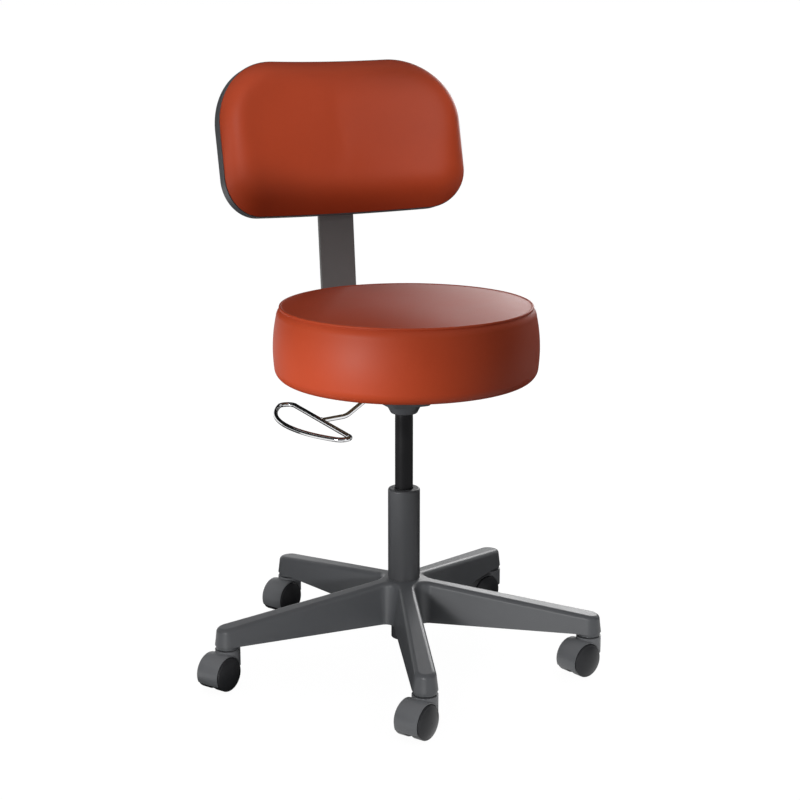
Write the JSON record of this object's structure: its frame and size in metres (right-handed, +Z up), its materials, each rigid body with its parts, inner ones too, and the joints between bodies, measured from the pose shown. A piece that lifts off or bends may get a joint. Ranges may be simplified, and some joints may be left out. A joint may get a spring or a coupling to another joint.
{
  "type": "stool with backrest",
  "caption": "Round padded swivel stool for a clinic or laboratory, on a five-legged caster base with a gas lift, a release lever and a padded backrest on a flat upright.",
  "frame": {"origin": "on the floor, on the axis of the gas-lift column", "axes": "+Z up along the column, the sitter faces -Y, the backrest stands at +Y, the release lever is at -X"},
  "size_m": [0.6057, 0.6507, 0.9213],
  "materials": {
    "base_nylon": "fine-grained moulded nylon, charcoal",
    "caster_nylon": "satin moulded nylon, charcoal",
    "wheel_nylon": "smooth moulded nylon, near black",
    "column_paint": "satin charcoal paint",
    "tube_paint": "semi-gloss black paint",
    "steel": "bright turned steel",
    "slide_plastic": "self-lubricating grey plastic",
    "stop_rubber": "moulded black rubber",
    "piston_metal": "turned aluminium",
    "plate_paint": "satin black powder coat",
    "bar_paint": "fine satin charcoal powder coat",
    "lever_chrome": "polished chrome plate",
    "plywood": "raw plywood",
    "vinyl": "soft rust-red upholstery vinyl over foam",
    "shell_plastic": "fine-grained moulded plastic, charcoal"
  },
  "bodies": {
    "base": {"base_star": "base_nylon", "stem_sockets": "steel", "caster_stems": "steel", "stand_tube": "column_paint", "guide_bush": "slide_plastic", "bearing_lower_race": "steel", "bearing_cage": "slide_plastic", "bearing_balls": "steel"},
    "piston": {"piston_rod": "steel", "piston_head": "piston_metal", "bearing_upper_race": "steel", "bump_stop": "stop_rubber", "rod_clip": "steel"},
    "seat": {"pressure_tube": "tube_paint", "rod_seal": "slide_plastic", "seat_plate": "plate_paint", "seat_board": "plywood", "seat_cushion": "vinyl", "seat_bolts": "steel", "bar_bolts": "steel", "tee_nuts": "steel", "back_bar": "bar_paint", "lever_pin": "steel"},
    "lever": {"lever_loop": "lever_chrome", "lever_rod": "lever_chrome"},
    "valve": {"valve_pin": "steel"},
    "backrest": {"back_shell": "shell_plastic", "back_board": "plywood", "back_cushion": "vinyl", "bar_sleeve": "shell_plastic", "shell_screws": "steel"},
    "knob": {"clamp_knob": "shell_plastic", "knob_stud": "steel"},
    "caster_1": {"caster_hood_1": "caster_nylon", "caster_axle_1": "steel"},
    "wheel_1a": {"caster_wheel_1a": "wheel_nylon"},
    "wheel_1b": {"caster_wheel_1b": "wheel_nylon"},
    "caster_2": {"caster_hood_2": "caster_nylon", "caster_axle_2": "steel"},
    "wheel_2a": {"caster_wheel_2a": "wheel_nylon"},
    "wheel_2b": {"caster_wheel_2b": "wheel_nylon"},
    "caster_3": {"caster_hood_3": "caster_nylon", "caster_axle_3": "steel"},
    "wheel_3a": {"caster_wheel_3a": "wheel_nylon"},
    "wheel_3b": {"caster_wheel_3b": "wheel_nylon"},
    "caster_4": {"caster_hood_4": "caster_nylon", "caster_axle_4": "steel"},
    "wheel_4a": {"caster_wheel_4a": "wheel_nylon"},
    "wheel_4b": {"caster_wheel_4b": "wheel_nylon"},
    "caster_5": {"caster_hood_5": "caster_nylon", "caster_axle_5": "steel"},
    "wheel_5a": {"caster_wheel_5a": "wheel_nylon"},
    "wheel_5b": {"caster_wheel_5b": "wheel_nylon"}
  },
  "joints": [
    {"name": "seat_swivel", "type": "hinge", "parent": "base", "child": "piston", "pos_m": [0, 0, 0.1], "axis": [0, 0, 1], "continuous": true},
    {"name": "gas_lift", "type": "slide", "parent": "piston", "child": "seat", "axis": [0, 0, 1], "range_m": [-0.105, 0.025]},
    {"name": "lever_lift", "type": "hinge", "parent": "seat", "child": "lever", "pos_m": [-0.031, 0, 0.4402], "axis": [0, 1, 0], "range_deg": [0, 6]},
    {"name": "valve_press", "type": "slide", "parent": "seat", "child": "valve", "axis": [0, 0, -1], "range_m": [0, 0.004]},
    {"name": "back_height", "type": "slide", "parent": "seat", "child": "backrest", "axis": [0, 0.2419, 0.9703], "range_m": [-0.03, 0.03]},
    {"name": "knob_turn", "type": "hinge", "parent": "backrest", "child": "knob", "pos_m": [0, 0.28423, 0.79219], "axis": [0, 0.9703, -0.2419], "range_deg": [0, 360]},
    {"name": "caster_1_swivel", "type": "hinge", "parent": "base", "child": "caster_1", "pos_m": [-0.09753, -0.27619, 0.0573], "axis": [0, 0, 1], "continuous": true},
    {"name": "wheel_1a_roll", "type": "hinge", "parent": "caster_1", "child": "wheel_1a", "pos_m": [-0.11619, -0.28687, 0.026], "axis": [0.497, -0.8678, 0], "continuous": true},
    {"name": "wheel_1b_roll", "type": "hinge", "parent": "caster_1", "child": "wheel_1b", "pos_m": [-0.11619, -0.28687, 0.026], "axis": [0.497, -0.8678, 0], "continuous": true},
    {"name": "caster_2_swivel", "type": "hinge", "parent": "base", "child": "caster_2", "pos_m": [0.23253, -0.1781, 0.0573], "axis": [0, 0, 1], "continuous": true},
    {"name": "wheel_2a_roll", "type": "hinge", "parent": "caster_2", "child": "wheel_2a", "pos_m": [0.21172, -0.18352, 0.026], "axis": [0.2521, -0.9677, 0], "continuous": true},
    {"name": "wheel_2b_roll", "type": "hinge", "parent": "caster_2", "child": "wheel_2b", "pos_m": [0.21172, -0.18352, 0.026], "axis": [0.2521, -0.9677, 0], "continuous": true},
    {"name": "caster_3_swivel", "type": "hinge", "parent": "base", "child": "caster_3", "pos_m": [0.24124, 0.16611, 0.0573], "axis": [0, 0, 1], "continuous": true},
    {"name": "wheel_3a_roll", "type": "hinge", "parent": "caster_3", "child": "wheel_3a", "pos_m": [0.22029, 0.16128, 0.026], "axis": [0.225, -0.9744, 0], "continuous": true},
    {"name": "wheel_3b_roll", "type": "hinge", "parent": "caster_3", "child": "wheel_3b", "pos_m": [0.22029, 0.16128, 0.026], "axis": [0.225, -0.9744, 0], "continuous": true},
    {"name": "caster_4_swivel", "type": "hinge", "parent": "base", "child": "caster_4", "pos_m": [-0.08343, 0.28077, 0.0573], "axis": [0, 0, 1], "continuous": true},
    {"name": "wheel_4a_roll", "type": "hinge", "parent": "caster_4", "child": "wheel_4a", "pos_m": [-0.10233, 0.27051, 0.026], "axis": [0.4772, -0.8788, 0], "continuous": true},
    {"name": "wheel_4b_roll", "type": "hinge", "parent": "caster_4", "child": "wheel_4b", "pos_m": [-0.10233, 0.27051, 0.026], "axis": [0.4772, -0.8788, 0], "continuous": true},
    {"name": "caster_5_swivel", "type": "hinge", "parent": "base", "child": "caster_5", "pos_m": [-0.29281, 0.00741, 0.0573], "axis": [0, 0, 1], "continuous": true},
    {"name": "wheel_5a_roll", "type": "hinge", "parent": "caster_5", "child": "wheel_5a", "pos_m": [-0.31143, -0.00334, 0.026], "axis": [0.5, -0.866, 0], "continuous": true},
    {"name": "wheel_5b_roll", "type": "hinge", "parent": "caster_5", "child": "wheel_5b", "pos_m": [-0.31143, -0.00334, 0.026], "axis": [0.5, -0.866, 0], "continuous": true}
  ],
  "couplings": [
    {"joint": "valve_press", "follows": "lever_lift", "m_per_rad": 0.031}
  ]
}
